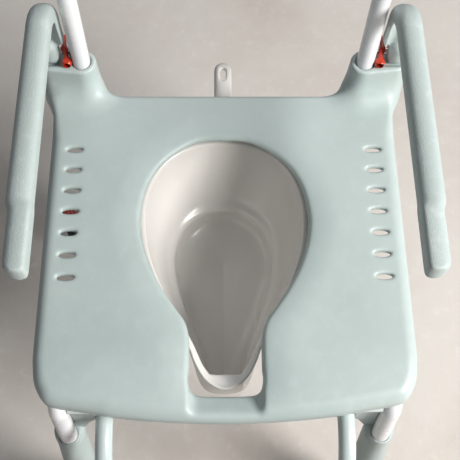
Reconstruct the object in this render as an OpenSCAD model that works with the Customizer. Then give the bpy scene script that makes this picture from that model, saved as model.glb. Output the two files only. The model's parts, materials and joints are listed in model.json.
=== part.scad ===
// Mobile shower and commode chair with a keyhole seat, a slide-in pan, swing-up
// arm supports, a slide-out foot support and four braked castors.
// X is to the sitter's left, +Y to the back of the chair, +Z up, the floor is z = 0.
// The seat's own frame has its top face at z = 0 and its rear edge at y = 220.

/* [Seat] */
// Height of the seat top above the floor
seat_h = 490; // [480:1:500]
// Half width of the seat between its parallel sides
seat_half = 247; // [245:1:249]
// Thickness of the seat's top skin
skin = 18; // [14:1:18]
// Width of each drain slot
slot_w = 7.5; // [6:0.5:9]
// Number of drain slots on a side
slot_count = 7; // [3:1:7]
// Distance between two drain slots
slot_pitch = 32.4; // [28:0.1:33]

/* [Frame] */
// Radius of the back uprights
post_r = 12.5; // [12:0.1:13]
// Radius of the front legs
leg_r = 12.5; // [11:0.1:12.5]
// Radius of the rails and cross tubes under the seat
rail_r = 10; // [9:0.1:10]
// Wall of every steel tube
wall = 1.5; // [1.2:0.1:2]
// Height of the push bar's top above the seat
post_top = 440; // [430:1:450]

/* [Arm supports] */
// Height of the arm pads' top above the seat
pad_top = 197; // [190:1:200]
// Thickness of the arm pads
pad_t = 27; // [24:1:28]

/* [Foot support] */
// Radius of the foot support tubes
foot_r = 11.5; // [10.5:0.1:11.5]
// Length of the slanted stretch of the foot support tubes
foot_len = 255; // [240:1:255]

/* [Castors] */
// Radius of the castor wheels
wheel_r = 62.5; // [60:0.5:62.5]
// Height of a castor from the floor to its socket
castor_h = 165; // [165:1:170]

/* [Hidden] */
$fn = 64;

// The seat's frame is moved so that the whole chair stands over the origin.
y_shift = 97;
green = [0.72, 0.78, 0.77];
dark_green = [0.55, 0.63, 0.61];
white = [0.93, 0.93, 0.94];
red = [0.68, 0.2, 0.1];
pan_grey = [0.86, 0.85, 0.83];
rubber = [0.12, 0.12, 0.13];
steel = [0.7, 0.71, 0.73];
run = 0.05; // radial clearance of a turning pin
slip = 0.3; // clearance of a sliding tube

// Back upright: vertical, then bent level towards the push bar.
post_x = 201;
post_y = 241;
post_low = -290;
top_r = 60;
top_z = post_top - post_r - top_r;
bar_y = post_y + top_r;
bar_z = top_z + top_r;
corner_r = 35;
back_low = 235;
back_h = 142;

// Front leg: its foot further forward than its top, which bends back under the seat.
leg_x = 216;
leg_y = -229;
leg_z = -50;
leg_tilt = atan(0.135);
leg_bend_z = -8;
leg_bend_r = 30;
leg_low = -290;
sleeve_len = 207; // length of the front sleeve along the leg
rail_x = 187;
rail_z = -32;
cross_y = -224;
cross_z = -50;
cross_gap = 0.1; // weld gap between the cross tube and a leg
rear_cross_y = 195;
socket_z = castor_h - seat_h;
front_castor_y = leg_y - tan(leg_tilt) * (leg_z - socket_z);

// Opening in the seat: an egg that runs into a straight notch at the front.
egg_y = 30;
egg_half = 116;
egg_back = 150;
egg_front = -130;
notch_half = 50;
notch_y = -226;
skirt_z = -38;
rim_low = -48.5;
ledge_top = -149;
pan_floor = -192;
pan_t = 3;
slot_x = 211.4;
slot_len = 23;
slot_y0 = 130;

// Ear at each rear corner of the seat, stepped down under the arm's knuckle.
ear_top = 54;
ear_low = 49;
ear_step_y = 236;

// Arm hinge, on one axis along X for the pin, the lock and the arm.
hinge_y = 252;
hinge_z = 65;
pin_r = 5;
knuckle_r = 14.5;
arm_in = 215.5;
arm_out = 247.5;
post_in = 218;
post_out = 256;
knuckle_in = 233;
pad_front = -143;
arm_bend_y = 190;
arm_bend_r = 62;
knob_y = 234; // middle of the catch's thumb knob
catch_room = 33; // height of the room for the catch above the hinge

// Foot support, sliding along Y under the seat.
foot_x = 159;
foot_z = -76;
foot_back = 60;
foot_bend_y = -240;
foot_bend_r = 80;
foot_angle = 65;
foot_y1 = foot_bend_y - foot_bend_r * sin(foot_angle);
foot_z1 = foot_z - foot_bend_r * (1 - cos(foot_angle));
foot_y2 = foot_y1 - foot_len * cos(foot_angle);
foot_z2 = foot_z1 - foot_len * sin(foot_angle);
bar_r = 8;

// Castor, in its own frame: swivel axis at the origin, wheel behind it at +Y.
trail = 40;
axle_r = 4;
axle_z = wheel_r - castor_h;
fork_in = 18;
fork_t = 4;
tyre_half = 15.5;
hub_r = 46;
pedal_y = 30;
pedal_z = -26;
pedal_pin_r = 2.5;
stem_r = 5.5;

// Mirrors its children onto side s, 1 for right and -1 for left.
module side(s) {
    mirror([s < 0 ? 1 : 0, 0, 0])
        children();
}

module in_seat_frame() {
    translate([0, y_shift, seat_h])
        children();
}

module ring(r) {
    difference() {
        circle(r);
        circle(r - wall);
    }
}

module tube(h, r) {
    linear_extrude(h)
        ring(r);
}

// A tube bend in a plane of constant x, from angle a0 to a1 about [y, z].
module bend_yz(x, y, z, bend_r, a0, a1, r) {
    translate([x, y, z])
        rotate([90, 0, 90])
            rotate([0, 0, a0])
                rotate_extrude(angle = a1 - a0)
                    translate([bend_r, 0])
                        ring(r);
}

// Plan points of an arc.
function arc(cx, cy, r, a0, a1, n) =
    [for (i = [0:n]) [cx + r * cos(a0 + (a1 - a0) * i / n), cy + r * sin(a0 + (a1 - a0) * i / n)]];

// Egg outline grown by g, its widest line at egg_y.
function egg(g, n = 32) = [
    for (i = [0:n - 1])
        let (a = 360 * i / n, s = sin(a))
            [(egg_half + g) * cos(a) * (s < 0 ? 1 - 0.34 * s * s : 1),
             egg_y + (s > 0 ? (egg_back - egg_y + g) : (egg_y - egg_front + g)) * s]
];

module keyhole(g = 0) {
    polygon(egg(g));
    translate([-notch_half - g, notch_y - g])
        square([2 * (notch_half + g), -notch_y + g]);
}

module seat_outline() {
    polygon(concat(
        [[seat_half, 221]],
        [[-seat_half, 221]],
        arc(-seat_half + 26, -203, 26, 180, 258, 6),
        [for (x = [-180:60:180]) [x, -252 + 22 * pow(x / 224, 2)]],
        arc(seat_half - 26, -203, 26, 282, 360, 6)
    ));
}

// Side view of the seat's skin: level, then rolling down over the front edge.
module seat_profile() {
    polygon([
        [262, 0], [-212, 0], [-230, -3], [-243, -11], [-250, -22], [-253, -44],
        [-249, -44], [-246, -26], [-238, -skin], [262, -skin]
    ]);
}

module ear_plan() {
    translate([post_x, post_y])
        circle(19.5);
    translate([243, 247])
        circle(20);
    polygon([[182, 215], [seat_half, 215], [262, 240], [250, 262], [222, 256], [200, 260], [182, 241]]);
}

// Seat: skin, rim skirt and ears, cut by the opening, the slots and the post bores.
module seat_shell() {
    color(green) in_seat_frame() difference() {
        union() {
            intersection() {
                translate([0, 0, -60])
                    linear_extrude(80)
                        seat_outline();
                translate([-300, 0, 0])
                    rotate([90, 0, 90])
                        linear_extrude(600)
                            seat_profile();
            }
            translate([0, 0, skirt_z])
                linear_extrude(-skirt_z - 3)
                    difference() {
                        keyhole(4);
                        keyhole(0);
                    }
            for (s = [-1, 1])
                side(s) {
                    translate([seat_half - 5, -190, -34])
                        cube([5, 405, 30]);
                    difference() {
                        translate([0, 0, -skin])
                            linear_extrude(ear_top + skin)
                                ear_plan();
                        translate([203, ear_step_y, ear_low])
                            cube([70, 60, 20]);
                    }
                }
        }
        translate([0, 0, -100])
            linear_extrude(200)
                keyhole(0);
        for (s = [-1, 1])
            side(s) {
                translate([post_x, post_y, -100])
                    cylinder(h = 200, r = post_r + 2);
                for (i = [0:slot_count - 1])
                    translate([slot_x, slot_y0 - i * slot_pitch, -50])
                        drain_slot();
            }
        // The front bar is lower than the seat around it.
        translate([-notch_half - 4, -262, -13])
            cube([2 * notch_half + 8, 40, 20]);
    }
}

// A slot with round ends, cut right through.
module drain_slot() {
    linear_extrude(100) {
        square([slot_len - slot_w, slot_w], center = true);
        for (s = [-1, 1])
            translate([s * (slot_len - slot_w) / 2, 0])
                circle(slot_w / 2);
    }
}

// Blocks under the seat that snap over the side rails.
module seat_clips() {
    color(dark_green) in_seat_frame()
        for (s = [-1, 1], y = [-150, 130])
            side(s)
                difference() {
                    translate([rail_x - rail_r - 3, y, rail_z - 4])
                        cube([2 * rail_r + 6, 24, -skin - rail_z + 4]);
                    translate([rail_x, y - 5, rail_z])
                        rotate([-90, 0, 0])
                            cylinder(h = 34, r = rail_r);
                }
}

// Back tube, bent level at its top.
module upright(s) {
    color(white) in_seat_frame() side(s) {
        translate([post_x, post_y, post_low])
            tube(top_z - post_low, post_r);
        bend_yz(post_x, post_y + top_r, top_z, top_r, 90, 180, post_r);
    }
}

// U-shaped bar between the tops of the uprights, level and behind the back.
module push_bar() {
    color(white) in_seat_frame() {
        translate([0, bar_y, bar_z])
            for (s = [-1, 1])
                side(s)
                    translate([post_x - corner_r, 0, 0])
                        rotate_extrude(angle = 90)
                            translate([corner_r, 0])
                                ring(post_r);
        translate([corner_r - post_x, bar_y + corner_r, bar_z])
            rotate([0, 90, 0])
                tube(2 * (post_x - corner_r), post_r);
    }
}

// The axis of a front leg runs along local Z.
module on_leg() {
    translate([leg_x, leg_y, leg_z])
        rotate([-leg_tilt, 0, 0])
            children();
}

// Front leg, bent back at its top to meet the side rail.
module leg(s) {
    color(white) in_seat_frame() side(s)
        on_leg() {
            translate([0, 0, leg_low - leg_z])
                tube(leg_bend_z - leg_low + leg_z, leg_r);
            bend_yz(0, leg_bend_r, leg_bend_z, leg_bend_r, 90, 180, leg_r);
        }
}

// Side rail from the front cross tube to the upright.
module rail(s) {
    color(white) in_seat_frame() side(s)
        difference() {
            translate([rail_x, cross_y, rail_z])
                rotate([-90, 0, 0])
                    tube(post_y - cross_y, rail_r);
            translate([post_x, post_y, -100])
                cylinder(h = 200, r = post_r);
            translate([0, cross_y, cross_z])
                rotate([0, 90, 0])
                    cylinder(h = 300, r = rail_r);
        }
}

// Cross tube between the front legs.
module front_cross_tube() {
    color(green) in_seat_frame()
        translate([leg_r + cross_gap - leg_x, cross_y, cross_z])
            rotate([0, 90, 0])
                tube(2 * (leg_x - leg_r - cross_gap), rail_r);
}

// Cross tube between the side rails.
module rear_cross_tube() {
    color(white) in_seat_frame()
        difference() {
            translate([-rail_x, rear_cross_y, rail_z])
                rotate([0, 90, 0])
                    tube(2 * rail_x, rail_r);
            for (s = [-1, 1])
                translate([s * rail_x, 0, rail_z])
                    rotate([-90, 0, 0])
                        cylinder(h = 300, r = rail_r);
        }
}

// Moulded sleeve on the foot of a front leg, its flat underside over the castor.
module socket_front(s) {
    color(green) in_seat_frame() side(s)
        difference() {
            intersection() {
                on_leg()
                    translate([0, 0, -300])
                        rotate_extrude()
                            polygon([
                                [0, 0], [25, 0], [25, 60], [20, sleeve_len - 37],
                                [17.5, sleeve_len], [0, sleeve_len]
                            ]);
                translate([leg_x - 50, -400, socket_z])
                    cube([100, 400, 300]);
            }
            on_leg()
                translate([0, 0, leg_low - leg_z])
                    cylinder(h = 400, r = leg_r);
            translate([leg_x, front_castor_y, socket_z - 1])
                cylinder(h = 31, r = stem_r + 0.1);
        }
}

module socket_rear(s) {
    color(green) in_seat_frame() side(s)
        difference() {
            translate([post_x, post_y, socket_z])
                rotate_extrude()
                    polygon([[0, 0], [25, 0], [25, 30], [19, 90], [16.5, 110], [0, 110]]);
            translate([post_x, post_y, post_low])
                cylinder(h = 200, r = post_r);
            translate([post_x, post_y, socket_z - 1])
                cylinder(h = 40, r = stem_r + 0.1);
        }
}

// Moulded bracket from a front leg inwards to the sleeve that a foot tube slides in.
module front_bracket(s) {
    color(dark_green) in_seat_frame() side(s)
        difference() {
            union() {
                translate([foot_x - 16, -232, foot_z - 16])
                    cube([32, 40, 37]);
                translate([0, -222, 0])
                    rotate([90, 0, 0])
                        linear_extrude(8)
                            polygon([[174, -58], [208, -58], [208, -160], [200, -160], [174, -92]]);
            }
            translate([foot_x, 0, foot_z])
                rotate([90, 0, 0])
                    cylinder(h = 600, r = foot_r + slip, center = true);
            on_leg()
                translate([0, 0, -200])
                    cylinder(h = 300, r = leg_r);
            on_leg()
                translate([0, 0, -300])
                    cylinder(h = sleeve_len, r = 26);
            translate([0, cross_y, cross_z])
                rotate([0, 90, 0])
                    cylinder(h = 300, r = rail_r + 0.2);
        }
}

// Sleeve that hangs from a side rail and guides the back of a foot tube, which slides in it.
module rear_guide(s) {
    color(dark_green) in_seat_frame() side(s)
        difference() {
            union() {
                translate([foot_x - 16, -110, foot_z - 16])
                    cube([32, 40, 30]);
                translate([foot_x + 6, -110, foot_z])
                    cube([rail_x - foot_x, 40, rail_z - foot_z]);
            }
            translate([foot_x, 0, foot_z])
                rotate([90, 0, 0])
                    cylinder(h = 600, r = foot_r + slip, center = true);
            translate([rail_x, 0, rail_z])
                rotate([90, 0, 0])
                    cylinder(h = 600, r = rail_r, center = true);
        }
}

// Runner that the pan's flange slides on.
module pan_rail(s) {
    color(dark_green) in_seat_frame() side(s)
        difference() {
            translate([0, 215, 0])
                rotate([90, 0, 0])
                    linear_extrude(345)
                        polygon([
                            [127, -skin], [131, -skin], [131, -52], [117, -52], [117, -48.8], [127, -48.8]
                        ]);
            translate([0, rear_cross_y, rail_z])
                rotate([0, 90, 0])
                    cylinder(h = 300, r = rail_r);
        }
}

// Outline of the pan, its sides straight and its front a blunt tip.
module pan_plan(g) {
    intersection() {
        polygon(concat(
            arc(0, 60, 116 + g, 0, 180, 18),
            [[-116 - g, -10], [-48 - g, -146], [-26 - g / 2, -190 - g], [0, -202 - g],
             [26 + g / 2, -190 - g], [48 + g, -146], [116 + g, -10]]
        ));
        translate([-125.5, -400])
            square([251, 800]);
    }
}

// Outline of the deep bowl at the foot of the wall.
module bowl_plan(g) {
    polygon(concat(
        arc(0, 28, 86 + g, 0, 180, 16),
        [[-86 - g, 10], [-26 - g, -154 - g], [26 + g, -154 - g], [86 + g, 10]]
    ));
}

// Flange that rides on the two rails.
module pan_rim() {
    color(pan_grey) in_seat_frame()
        translate([0, 0, rim_low])
            linear_extrude(3)
                difference() {
                    pan_plan(6);
                    pan_plan(-6 - pan_t);
                }
}

// Upright wall below the flange.
module pan_wall() {
    color(pan_grey) in_seat_frame()
        translate([0, 0, ledge_top - pan_t])
            linear_extrude(rim_low - ledge_top + pan_t)
                difference() {
                    pan_plan(-6);
                    pan_plan(-6 - pan_t);
                }
}

// Ledge at the foot of the wall, and the deep bowl inside it.
module pan_bowl() {
    color(pan_grey) in_seat_frame()
        difference() {
            union() {
                translate([0, 0, ledge_top - pan_t])
                    linear_extrude(pan_t)
                        pan_plan(-6 - pan_t);
                translate([0, 0, pan_floor - pan_t])
                    linear_extrude(ledge_top - pan_floor)
                        bowl_plan(pan_t);
            }
            translate([0, 0, pan_floor])
                linear_extrude(100)
                    bowl_plan(0);
        }
}

// Pull tab behind the pan, with a slot for a finger.
module pan_handle() {
    color(pan_grey) in_seat_frame() difference() {
        union() {
            translate([-14.5, 150, -62])
                cube([29, 156, 12]);
            translate([0, 306, -62])
                cylinder(h = 12, r = 14.5);
        }
        translate([0, 0, -100])
            linear_extrude(100)
                pan_plan(-6);
        translate([-5, 288, -70])
            cube([10, 16, 30]);
        for (y = [288, 304])
            translate([0, y, -70])
                cylinder(h = 30, r = 5);
    }
}

// Steel tab on the back of an upright that carries the arm's hinge pin.
module arm_lug(s) {
    color(steel) in_seat_frame() side(s)
        difference() {
            translate([203, hinge_y - 9, hinge_z - 11])
                cube([13, 20, 22]);
            translate([post_x, post_y, 0])
                cylinder(h = 200, r = post_r);
            translate([190, hinge_y, hinge_z])
                rotate([0, 90, 0])
                    cylinder(h = 60, r = pin_r);
        }
}

// Hinge pin of an arm, welded to the back of the upright.
module arm_pin(s) {
    color(steel) in_seat_frame() side(s)
        difference() {
            translate([210, hinge_y, hinge_z])
                rotate([0, 90, 0])
                    cylinder(h = post_out - 210, r = pin_r);
            translate([post_x, post_y, 0])
                cylinder(h = 200, r = post_r);
        }
}

// Side view of an arm: pad, rear corner and post down to the hinge.
module arm_profile() {
    bend_z = pad_top - arm_bend_r;
    polygon(concat(
        arc(pad_front + pad_t / 2, pad_top - pad_t / 2, pad_t / 2, 90, 270, 8),
        arc(arm_bend_y, bend_z, arm_bend_r - pad_t, 90, 0, 8),
        [[hinge_y - knuckle_r, hinge_z], [hinge_y + knuckle_r, hinge_z]],
        arc(arm_bend_y, bend_z, arm_bend_r, 0, 90, 12)
    ));
}

// The slice of that side view between two values of x.
module arm_slice(x0, x1) {
    translate([x0, 0, 0])
        rotate([90, 0, 90])
            linear_extrude(x1 - x0)
                arm_profile();
}

// Arm support: pad, post and the knuckle that turns on the pin.
module arm(s) {
    color(green) in_seat_frame() side(s)
        difference() {
            union() {
                intersection() {
                    arm_slice(arm_in, arm_out);
                    union() {
                        translate([arm_in, pad_front + 16, pad_top - 60])
                            cube([60, 362, 70]);
                        translate([arm_in + 16, pad_front + 16, pad_top - 60])
                            cylinder(h = 70, r = 16);
                    }
                }
                intersection() {
                    arm_slice(post_in, post_out);
                    translate([post_in, 200, hinge_z + catch_room])
                        cube([60, 80, 150]);
                }
                intersection() {
                    arm_slice(knuckle_in, post_out);
                    translate([knuckle_in, 200, hinge_z])
                        cube([60, 80, catch_room + 5]);
                }
                translate([knuckle_in, hinge_y, hinge_z])
                    rotate([0, 90, 0])
                        cylinder(h = post_out - knuckle_in, r = knuckle_r);
            }
            translate([200, hinge_y, hinge_z])
                rotate([0, 90, 0])
                    cylinder(h = 80, r = pin_r + run);
        }
}

// Thumb catch that turns on the arm's hinge pin.
module arm_lock(s) {
    color(red) in_seat_frame() side(s)
        difference() {
            union() {
                translate([216.6, hinge_y, hinge_z])
                    rotate([0, 90, 0])
                        cylinder(h = 15.6, r = 10);
                translate([220, hinge_y, hinge_z - 4])
                    cube([9, 26, 9]);
                translate([217.5, knob_y, hinge_z - 6])
                    cube([6, hinge_y - knob_y, 6]);
                translate([220.5, knob_y, hinge_z - 2])
                    sphere(6.2);
            }
            translate([200, hinge_y, hinge_z])
                rotate([0, 90, 0])
                    cylinder(h = 80, r = pin_r + run);
        }
}

// Slotted board between the uprights.
module back_panel() {
    color(green) in_seat_frame()
        translate([0, post_y, back_low])
            difference() {
                translate([-210, -post_r - 12, 0])
                    cube([420, 11.7, back_h]);
                for (i = [-3:3])
                    translate([i * 40 - 5, -50, 35])
                        cube([10, 60, back_h - 70]);
            }
}

// Half sleeves behind the back panel that hold it to the uprights.
module back_clips() {
    color(dark_green) in_seat_frame()
        for (s = [-1, 1], z = [15, back_h - 45])
            side(s)
                translate([0, post_y, back_low + z])
                    linear_extrude(30)
                        difference() {
                            translate([post_x - post_r - 4, -post_r - 0.3])
                                square([2 * post_r + 3, 2 * post_r + 3]);
                            translate([post_x, 0])
                                circle(post_r);
                        }
}

// Foot support tube: level under the seat, then bent down and forward.
module foot_tube(s) {
    color(green) in_seat_frame() side(s)
        difference() {
            union() {
                translate([foot_x, foot_bend_y, foot_z])
                    rotate([-90, 0, 0])
                        tube(foot_back - foot_bend_y, foot_r);
                bend_yz(foot_x, foot_bend_y, foot_z - foot_bend_r, foot_bend_r,
                    90, 90 + foot_angle, foot_r);
                translate([foot_x, foot_y1, foot_z1])
                    rotate([90 + foot_angle, 0, 0])
                        tube(foot_len + 12, foot_r);
            }
            translate([0, foot_y2, foot_z2])
                rotate([0, 90, 0])
                    cylinder(h = 400, r = bar_r);
        }
}

module foot_hinge_bar() {
    color(steel) in_seat_frame()
        translate([-foot_x - foot_r - 2, foot_y2, foot_z2])
            rotate([0, 90, 0])
                cylinder(h = 2 * (foot_x + foot_r + 2), r = bar_r);
}

// Plugs that close the four open ends of the foot support tubes.
module foot_plugs() {
    color(dark_green) in_seat_frame()
        for (s = [-1, 1])
            side(s) {
                translate([foot_x, foot_back, foot_z])
                    rotate([-90, 0, 0])
                        cylinder(h = 4, r = foot_r);
                translate([foot_x, foot_y1, foot_z1])
                    rotate([90 + foot_angle, 0, 0])
                        translate([0, 0, foot_len + 12])
                            cylinder(h = 4, r = foot_r);
            }
}

// Footplate with the barrel that turns on the hinge bar.
module footplate() {
    color(green) in_seat_frame()
        translate([0, foot_y2, foot_z2])
            difference() {
                union() {
                    translate([-144, 0, 0])
                        rotate([0, 90, 0])
                            cylinder(h = 288, r = bar_r + 5);
                    translate([-140, -124, -6])
                        cube([280, 118, 10]);
                }
                translate([-200, 0, 0])
                    rotate([0, 90, 0])
                        cylinder(h = 400, r = bar_r + run);
                for (x = [-112:32:112])
                    translate([x - 4, -108, -20])
                        cube([8, 80, 40]);
            }
}

// Places a castor at corner [s, f]: s is 1 right, -1 left; f is 1 front, -1 rear.
// The angle is the direction of the wheel, counted from straight back.
function castor_x(s, f) = s * (f > 0 ? leg_x : post_x);
function castor_y(f) = f > 0 ? front_castor_y : post_y;
function castor_angle(s, f) = f > 0 ? (s > 0 ? -132 : 168) : (s > 0 ? -10 : 118);

module at_castor(s, f) {
    in_seat_frame()
        translate([castor_x(s, f), castor_y(f), socket_z])
            rotate([0, 0, castor_angle(s, f)])
                children();
}

module fork(s, f) {
    color(green) at_castor(s, f)
        difference() {
            union() {
                translate([0, 0, -14])
                    cylinder(h = 13.6, r = 22);
                translate([-fork_in - fork_t, -18, -16])
                    cube([2 * (fork_in + fork_t), 46, 8]);
                for (m = [0, 1])
                    mirror([m, 0, 0])
                        translate([fork_in, 0, 0])
                            rotate([90, 0, 90])
                                linear_extrude(fork_t)
                                    polygon(concat(
                                        [[38, -8], [-18, -8], [-18, -30]],
                                        arc(trail, axle_z, 12, 215, 375, 8)
                                    ));
                translate([0, 0, -10])
                    cylinder(h = 38, r = stem_r);
                translate([-fork_in - 1, pedal_y, pedal_z])
                    rotate([0, 90, 0])
                        cylinder(h = 2 * fork_in + 2, r = pedal_pin_r);
            }
            translate([-100, trail, axle_z])
                rotate([0, 90, 0])
                    cylinder(h = 200, r = axle_r);
        }
}

module axle(s, f) {
    color(steel) at_castor(s, f)
        translate([-fork_in - fork_t - 2, trail, axle_z])
            rotate([0, 90, 0])
                cylinder(h = 2 * (fork_in + fork_t + 2), r = axle_r);
}

module hub(s, f) {
    color(pan_grey) at_castor(s, f)
        translate([0, trail, axle_z])
            rotate([0, 90, 0])
                difference() {
                    union() {
                        cylinder(h = 20, r = hub_r, center = true);
                        cylinder(h = 34, r = 11, center = true);
                    }
                    cylinder(h = 60, r = axle_r + run, center = true);
                }
}

module tyre(s, f) {
    color(rubber) at_castor(s, f)
        translate([0, trail, axle_z])
            rotate([0, 90, 0])
                rotate_extrude()
                    polygon([
                        [hub_r, -10], [50, -tyre_half], [58, -tyre_half], [wheel_r, -8],
                        [wheel_r, 8], [58, tyre_half], [50, tyre_half], [hub_r, 10]
                    ]);
}

// Brake pedal, between the fork's cheeks and out over the wheel.
module pedal(s, f) {
    color(red) at_castor(s, f)
        difference() {
            union() {
                translate([-fork_in + 1, pedal_y, -33])
                    cube([2 * fork_in - 2, 34, 9]);
                translate([-fork_in + 1, pedal_y, pedal_z])
                    rotate([0, 90, 0])
                        cylinder(h = 2 * fork_in - 2, r = 5.5);
                translate([-25, 56, -33])
                    cube([50, 42, 9]);
            }
            translate([-100, pedal_y, pedal_z])
                rotate([0, 90, 0])
                    cylinder(h = 200, r = pedal_pin_r + run);
        }
}

upright(-1);  // upright_left
upright(1);  // upright_right
push_bar();
leg(-1);  // leg_left
leg(1);  // leg_right
rail(-1);  // rail_left
rail(1);  // rail_right
front_cross_tube();
rear_cross_tube();
socket_front(-1);  // socket_front_left
socket_front(1);  // socket_front_right
socket_rear(-1);  // socket_rear_left
socket_rear(1);  // socket_rear_right
front_bracket(-1);  // front_bracket_left
front_bracket(1);  // front_bracket_right
rear_guide(-1);  // rear_guide_left
rear_guide(1);  // rear_guide_right
seat_shell();
seat_clips();
pan_rail(-1);  // pan_rail_left
pan_rail(1);  // pan_rail_right
pan_rim();
pan_wall();
pan_bowl();
pan_handle();
arm_lug(-1);  // arm_lug_left
arm_lug(1);  // arm_lug_right
arm_pin(-1);  // arm_pin_left
arm_pin(1);  // arm_pin_right
arm(-1);  // arm_left
arm(1);  // arm_right
arm_lock(-1);  // arm_lock_left
arm_lock(1);  // arm_lock_right
back_panel();
back_clips();
foot_tube(-1);  // foot_tube_left
foot_tube(1);  // foot_tube_right
foot_hinge_bar();
foot_plugs();
footplate();
fork(-1, 1);  // fork_front_left
fork(1, 1);  // fork_front_right
fork(-1, -1);  // fork_rear_left
fork(1, -1);  // fork_rear_right
axle(-1, 1);  // axle_front_left
axle(1, 1);  // axle_front_right
axle(-1, -1);  // axle_rear_left
axle(1, -1);  // axle_rear_right
hub(-1, 1);  // hub_front_left
hub(1, 1);  // hub_front_right
hub(-1, -1);  // hub_rear_left
hub(1, -1);  // hub_rear_right
tyre(-1, 1);  // tyre_front_left
tyre(1, 1);  // tyre_front_right
tyre(-1, -1);  // tyre_rear_left
tyre(1, -1);  // tyre_rear_right
pedal(-1, 1);  // pedal_front_left
pedal(1, 1);  // pedal_front_right
pedal(-1, -1);  // pedal_rear_left
pedal(1, -1);  // pedal_rear_right
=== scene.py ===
"""Wheeled shower and commode chair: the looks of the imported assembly, built from signed distance fields."""

import json
import math

import bpy
import numpy as np
from mathutils import Matrix, Vector

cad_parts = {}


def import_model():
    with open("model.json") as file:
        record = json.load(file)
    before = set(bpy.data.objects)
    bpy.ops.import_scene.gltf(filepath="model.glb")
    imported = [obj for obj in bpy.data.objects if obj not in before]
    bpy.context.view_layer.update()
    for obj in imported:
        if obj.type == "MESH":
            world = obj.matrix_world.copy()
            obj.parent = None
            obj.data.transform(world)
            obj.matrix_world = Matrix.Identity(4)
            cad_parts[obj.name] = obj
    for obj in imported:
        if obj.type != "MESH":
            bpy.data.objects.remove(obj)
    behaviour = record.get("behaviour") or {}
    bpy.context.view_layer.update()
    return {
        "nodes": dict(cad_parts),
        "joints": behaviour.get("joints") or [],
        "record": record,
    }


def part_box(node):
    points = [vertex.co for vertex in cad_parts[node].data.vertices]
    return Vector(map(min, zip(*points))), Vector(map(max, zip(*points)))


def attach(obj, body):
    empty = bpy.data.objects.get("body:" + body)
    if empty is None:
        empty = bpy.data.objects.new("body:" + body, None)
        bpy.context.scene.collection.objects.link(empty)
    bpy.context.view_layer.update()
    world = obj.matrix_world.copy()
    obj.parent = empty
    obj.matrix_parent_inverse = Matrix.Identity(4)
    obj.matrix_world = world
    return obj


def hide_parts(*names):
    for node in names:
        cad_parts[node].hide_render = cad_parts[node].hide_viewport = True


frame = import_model()

MM = 0.001
# The seat's own frame: X across, Y to the rear, Z up from the seat's flat top, in millimetres. Its origin
# lies 170 mm to the right of the first mount and 30 mm in front of it.
seat_mount = frame["record"]["mounts"][0]["pos_m"]
ORIGIN = np.array([seat_mount[0] + 0.170, seat_mount[1] - 0.030, seat_mount[2]])
SIDES = (("left", -1), ("right", 1))

# Places in that frame, on the right side.
POST = (201.0, 241.0)  # plan of a back tube's middle
POST_R = 12.5
HINGE = (252, 65)  # Y and Z of the arm hinge's axis
LEG_X = 216.0
FOOT_TUBE = (159.0, -76.0)  # X and Z of a foot tube's middle
SLEEVE_FOOT = -324.6  # Z of the lower end of all four sleeves
TUBE_FOOT = -285.0  # Z of the lower end of the tubes inside them
# Places in a castor's own frame, its origin at the top of the swivel, Y towards the wheel.
AXLE = (40, -102.5)  # Y and Z
PEDAL_PIN = (30, -26)  # Y and Z


def local(node):
    """A CAD node's box in the seat's frame, in millimetres."""
    lo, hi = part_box(node)
    return (np.array(lo) - ORIGIN) / MM, (np.array(hi) - ORIGIN) / MM


# ---------------------------------------------------------------- distance fields


def soft_min(a, b, k):
    """Union of two fields, their seam filled over a width k."""
    h = np.maximum(k - np.abs(a - b), 0.0) / k
    return np.minimum(a, b) - h * h * k * 0.25


def soft_max(a, b, k):
    """Common part of two fields, its seam eased over a width k."""
    return -soft_min(-a, -b, k)


def rounded(d, w, r):
    """Two crossing distances, such as a plan and a height, as one solid with edges of radius r."""
    a, b = np.maximum(d + r, 0.0), np.maximum(w + r, 0.0)
    return np.sqrt(a * a + b * b) + np.minimum(np.maximum(d, w) + r, 0.0) - r


def between(v, low, high):
    """Distance along an axis from the stretch low to high, negative inside."""
    return np.abs(v - (low + high) / 2) - (high - low) / 2


def share(v):
    return np.clip(v, 0.0, 1.0)


def ease(v):
    """A share from 0 to 1 with a gentle start and end."""
    return v * v * (3 - 2 * v)


def away(u, v, centre):
    """Distance from a point of a plane, or from an axis square to that plane."""
    return np.sqrt((u - centre[0]) ** 2 + (v - centre[1]) ** 2)


def brick(p, centre, half, r):
    """A box with edges of radius r."""
    q = [np.abs(p[i] - centre[i]) - half[i] + r for i in range(3)]
    out = np.sqrt(sum(np.maximum(v, 0.0) ** 2 for v in q))
    return out + np.minimum(np.maximum(np.maximum(q[0], q[1]), q[2]), 0.0) - r


def bar(p, a, b, ra, rb=None):
    """A round-ended bar from a to b, of radius ra to rb."""
    rb = ra if rb is None else rb
    a, b = np.array(a, float), np.array(b, float)
    e = b - a
    w = [p[i] - a[i] for i in range(3)]
    t = np.clip(sum(w[i] * e[i] for i in range(3)) / (e @ e), 0.0, 1.0)
    return np.sqrt(sum((w[i] - e[i] * t) ** 2 for i in range(3))) - (ra + (rb - ra) * t)


def drum(p, a, b, ra, rb=None, r=2.0):
    """A flat-ended cylinder or cone from a to b, its rims rounded by r."""
    rb = ra if rb is None else rb
    a, b = np.array(a, float), np.array(b, float)
    length = np.linalg.norm(b - a)
    e = (b - a) / length
    w = [p[i] - a[i] for i in range(3)]
    t = sum(w[i] * e[i] for i in range(3))
    away = np.sqrt(np.maximum(sum(v * v for v in w) - t * t, 0.0))
    return rounded(away - (ra + (rb - ra) * np.clip(t / length, 0.0, 1.0)), between(t, 0, length), r)


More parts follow.
